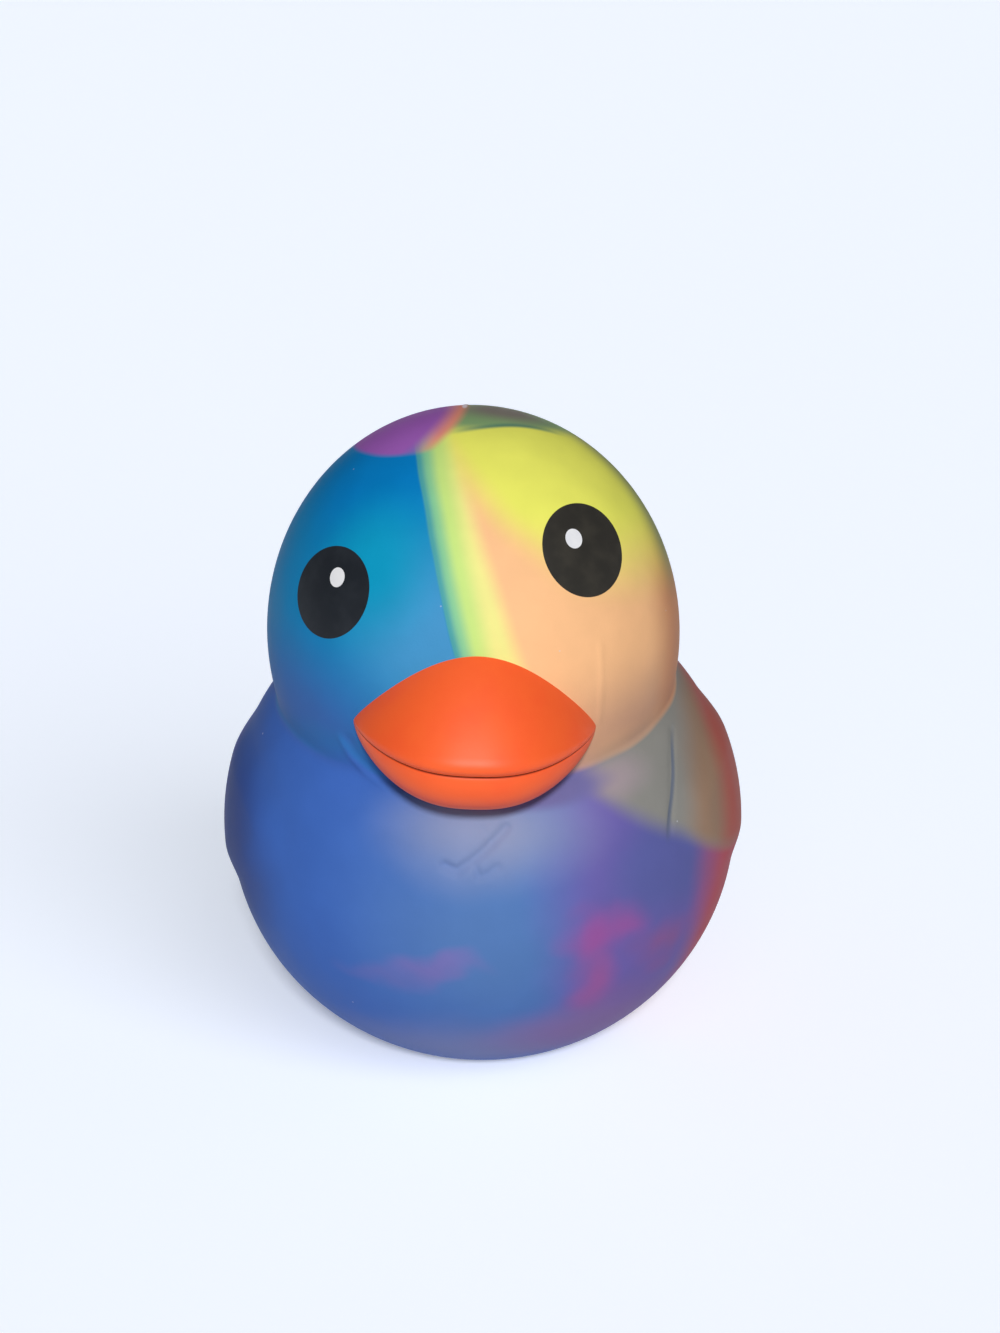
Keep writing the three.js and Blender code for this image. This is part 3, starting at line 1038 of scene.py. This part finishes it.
@dataclass(frozen=True, kw_only=True)
class BillPaint(Finish):
    """Orange paint on the bill, with painted shade darkening the mouth groove."""

    name: str = "bill paint"
    roughness: Pair = (0.44, 0.54)
    specular: float = 0.36
    bump: float = 0.08
    grain_pitch: float = 0.3
    mottle_pitch: float = 4.0
    colour: str = "#ff652d"
    deep: str = "#fe602c"
    deep_window: Pair = (0.35, 0.75)
    # Painted shade: the dark red-brown laid in the mouth groove.
    line: str = "#6e2012"
    groove_shade_window: Pair = (0.25, 0.95)

    def colour_nodes(self, sheet: NodeSheet, groups: EffectGroups, place: Socket, mottle: Socket) -> Socket:
        """Lay the two oranges by the mottle, then the painted shade of the mouth groove; for the arguments
        see Finish.
        """
        share = sheet.smooth(mottle, *self.deep_window)
        orange = sheet.mix(share, linear(self.colour), linear(self.deep))
        mark = sheet.node("ShaderNodeAttribute", attribute_name=MOUTH_GROOVE_SHADE).outputs["Fac"]
        return sheet.mix(sheet.smooth(mark, *self.groove_shade_window), orange, linear(self.line))


@dataclass(frozen=True, kw_only=True)
class InkFinish(Finish):
    """Printed ink, even apart from a faint mottle."""

    colour: str
    worn: str
    worn_window: Pair = (0.35, 0.8)
    roughness: Pair = (0.42, 0.52)
    specular: float = 0.2
    bump: float = 0.06
    grain_pitch: float = 0.3
    mottle_pitch: float = 2.5

    def colour_nodes(self, sheet: NodeSheet, groups: EffectGroups, place: Socket, mottle: Socket) -> Socket:
        """Lay the ink and its worn shade by the mottle; for the arguments see Finish."""
        share = sheet.smooth(mottle, *self.worn_window)
        return sheet.mix(share, linear(self.colour), linear(self.worn))


@dataclass(frozen=True)
class PrintedEye:
    """One printed eye: a dark oval with a white glint; both eyes share one ink, and its two copies differ
    as painted light.
    """

    ink: InkFinish
    oval: PrintedPatch
    glint: PrintedPatch


# One ink in two copies: the left darker and cooler as painted shade, the right lighter and warmer as
# painted sheen.
EYES = (
    PrintedEye(
        InkFinish(name="eye ink painted shade copy", colour="#1f2329", worn="#282c32"),
        PrintedPatch("eye_print_left", (-15.2, 63.8), (4.25, 0.95), (0.6, 4.75), 0.03),
        PrintedPatch("eye_glint_left", (-14.56, 65.58), (0.82, 0.03), (0.25, 1.0), 0.06),
    ),
    PrintedEye(
        InkFinish(name="eye ink painted sheen copy", colour="#302e2a", worn="#3a3731"),
        PrintedPatch("eye_print_right", (12.8, 67.4), (4.2, 0.19), (-1.54, 4.65), 0.03),
        PrintedPatch("eye_glint_right", (11.85, 68.87), (0.86, 0.08), (-0.35, 0.95), 0.06),
    ),
)


@dataclass
class Duck:
    """The whole toy: skin, bill and printed eyes, built and dressed."""

    form: DuckForm = field(default_factory=DuckForm)
    foam: FoamFinish = FoamFinish()
    paint: BillPaint = BillPaint()
    white: InkFinish = InkFinish(name="glint ink", colour="#eeeef0", worn="#e4e5ea", roughness=(0.45, 0.55))

    def build(self, groups: EffectGroups) -> list[SceneObject]:
        """Make every piece with its finish.

        Args:
            groups: The shared effects.

        Returns:
            The pieces.
        """
        white = self.white.material(groups)
        pieces = [
            self.dress(FoamSkin(self.form).build(), self.foam.material(groups), Slot.FOAM),
            self.dress(Bill(self.form).build(), self.paint.material(groups), Slot.BILL),
        ]
        for eye in EYES:
            pieces.append(self.dress(eye.oval.build(self.form), eye.ink.material(groups), Slot.EYE))
            pieces.append(self.dress(eye.glint.build(self.form), white, Slot.GLINT))
        return pieces

    @staticmethod
    def dress(piece: SceneObject, material: bpy.types.Material, slot: Slot) -> SceneObject:
        """Give a piece its material, and let it ride on the body.

        Args:
            piece: The piece.
            material: Its finish.
            slot: The record's slot; not used.

        Returns:
            The same piece.
        """
        piece.data.materials.append(material)
        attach(piece, ROOT_BODY)
        LOG.info("%s: %d faces, %s", piece.name, len(piece.data.polygons), material.name)
        return piece


def direction(azimuth: float, elevation: float) -> Vector:
    """The direction to something far away, its azimuth counted from straight ahead of the duck."""
    flat = math.cos(elevation)
    return Vector((math.sin(azimuth) * flat, -math.cos(azimuth) * flat, math.sin(elevation)))


@dataclass(frozen=True)
class Viewpoint:
    """The photograph's viewpoint: round a pivot in the neck that lies at one pixel of the picture."""

    pivot: Triple = (0.0, 0.0, 40.0)
    pivot_pixel: Pair = (478.6, 721.65)
    azimuth: float = math.radians(1.0)
    elevation: float = math.radians(20.0)
    distance: float = 324.0
    roll: float = math.radians(2.7)
    focal_pixels: float = 2653.5
    sensor: float = 36.0
    near_clip: float = 10.0

    def build(self) -> None:
        """Make the camera, turned so that the pivot falls on its pixel, and make it the scene's."""
        back = direction(self.azimuth, self.elevation)
        place = Vector(self.pivot) + back * self.distance
        level = Vector((0.0, 0.0, 1.0)).cross(back).normalized()
        upright = back.cross(level)
        right = level * math.cos(self.roll) - upright * math.sin(self.roll)
        up = back.cross(right)
        aside = (PHOTO_SIZE[0] / 2 - self.pivot_pixel[0]) / self.focal_pixels
        above = (self.pivot_pixel[1] - PHOTO_SIZE[1] / 2) / self.focal_pixels
        back = (back - right * aside - up * above).normalized()
        right = up.cross(back).normalized()
        up = back.cross(right)
        data = bpy.data.cameras.new("photo_camera")
        data.sensor_width = self.sensor
        data.lens = self.focal_pixels * self.sensor / max(PHOTO_SIZE)
        data.clip_start = self.near_clip * MM
        camera = bpy.data.objects.new("photo_camera", data)
        turn = Matrix((right, up, back)).transposed().to_4x4()
        camera.matrix_world = Matrix.Translation(place * MM) @ turn
        bpy.context.scene.collection.objects.link(camera)
        bpy.context.scene.camera = camera


@dataclass(frozen=True)
class SoftSun:
    """A broad soft lamp, far away, that shines from a side and a height."""

    name: str
    azimuth: float
    elevation: float
    strength: float
    spread: float

    def build(self) -> SceneObject:
        """Make the lamp."""
        data = bpy.data.lights.new(self.name, "SUN")
        data.energy = self.strength
        data.angle = self.spread
        lamp = bpy.data.objects.new(self.name, data)
        towards = direction(self.azimuth, self.elevation)
        lamp.rotation_euler = towards.to_track_quat("Z", "Y").to_euler()
        bpy.context.scene.collection.objects.link(lamp)
        return lamp


@dataclass(frozen=True)
class Studio:
    """A pale floor under soft light; a side lamp lights the floor alone, a rear lamp the toy alone."""

    key: SoftSun = SoftSun("key_lamp", math.radians(3), math.radians(30), 2.56, math.radians(7))
    fill: SoftSun = SoftSun("fill_lamp", math.radians(8), math.radians(34), 0.4, math.radians(50))
    rear: SoftSun = SoftSun("rear_lamp", math.radians(180), math.radians(-12), 0.7, math.radians(40))
    side: SoftSun = SoftSun("floor_lamp", math.radians(27), math.radians(27), 1.65, math.radians(42))
    floor_size: float = 6000.0
    floor_colour: str = "#eef4ff"
    floor_glow: float = 0.25
    bounce_colour: str = "#c2c4c8"
    world_strength: float = 0.06

    def build(self, pieces: Sequence[SceneObject]) -> None:
        """Make the lamps, the world and the floor.

        Args:
            pieces: The toy's pieces, which the rear lamp lights alone.
        """
        self.key.build()
        self.fill.build()
        self.build_world()
        self.aim(self.side.build(), [self.build_floor()], pieces)
        self.aim(self.rear.build(), pieces, pieces)

    @staticmethod
    def aim(
        lamp: SceneObject, lit: Sequence[SceneObject], shading: Sequence[SceneObject]
    ) -> None:
        """Let a lamp light some objects only, with shadows of some objects only.

        Args:
            lamp: The lamp.
            lit: The objects that it lights.
            shading: The objects that throw its shadows.
        """
        receivers = bpy.data.collections.new(f"lit by {lamp.name}")
        blockers = bpy.data.collections.new(f"shading {lamp.name}")
        for group, items in ((receivers, lit), (blockers, shading)):
            for item in items:
                group.objects.link(item)
        lamp.light_linking.receiver_collection = receivers
        lamp.light_linking.blocker_collection = blockers

    def build_world(self) -> None:
        """Fill the surroundings with a low even light, pale where the camera sees it."""
        world = bpy.data.worlds.new("studio_world")
        sheet = cleared_sheet(world)
        seen = sheet.node("ShaderNodeLightPath").outputs["Is Camera Ray"]
        strength = sheet.span(seen, (self.world_strength, 1.0))
        inputs = {"Color": linear(self.floor_colour), "Strength": strength}
        shade = sheet.node("ShaderNodeBackground", inputs)
        sheet.node("ShaderNodeOutputWorld", {"Surface": shade.outputs[0]})
        bpy.context.scene.world = world

    def build_floor(self) -> SceneObject:
        """Make the floor, pale to the eye with the toy's shadow on it, and dimmer as bounced light."""
        half = 0.5 * self.floor_size * MM
        mesh = bpy.data.meshes.new("studio_floor")
        corners = [(-half, -half, 0.0), (half, -half, 0.0), (half, half, 0.0), (-half, half, 0.0)]
        mesh.from_pydata(corners, [], [(0, 1, 2, 3)])
        floor = bpy.data.objects.new("studio_floor", mesh)
        bpy.context.scene.collection.objects.link(floor)
        material = bpy.data.materials.new("pale floor")
        sheet = cleared_sheet(material)
        path = sheet.node("ShaderNodeLightPath").outputs
        seen = sheet.math("MAXIMUM", path["Is Camera Ray"], path["Is Glossy Ray"])
        matte = sheet.node("ShaderNodeBsdfDiffuse", {"Color": linear(self.floor_colour)})
        light = {"Color": linear(self.floor_colour), "Strength": self.floor_glow}
        glow = sheet.node("ShaderNodeEmission", light)
        both = sheet.node("ShaderNodeAddShader", {0: matte.outputs[0], 1: glow.outputs[0]})
        dim = sheet.node("ShaderNodeBsdfDiffuse", {"Color": linear(self.bounce_colour)})
        mixed = sheet.node("ShaderNodeMixShader", {0: seen, 1: dim.outputs[0], 2: both.outputs[0]})
        sheet.node("ShaderNodeOutputMaterial", {"Surface": mixed.outputs[0]})
        mesh.materials.append(material)
        return floor


def main() -> None:
    """Load the frame, build and dress the duck, set the camera and light it."""
    logging.basicConfig(level=logging.INFO, format="%(name)s: %(message)s")
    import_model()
    bpy.context.scene.view_settings.view_transform = "Standard"
    pieces = Duck().build(EffectGroups())
    Viewpoint().build()
    Studio().build(pieces)


if __name__ == "__main__":
    main()
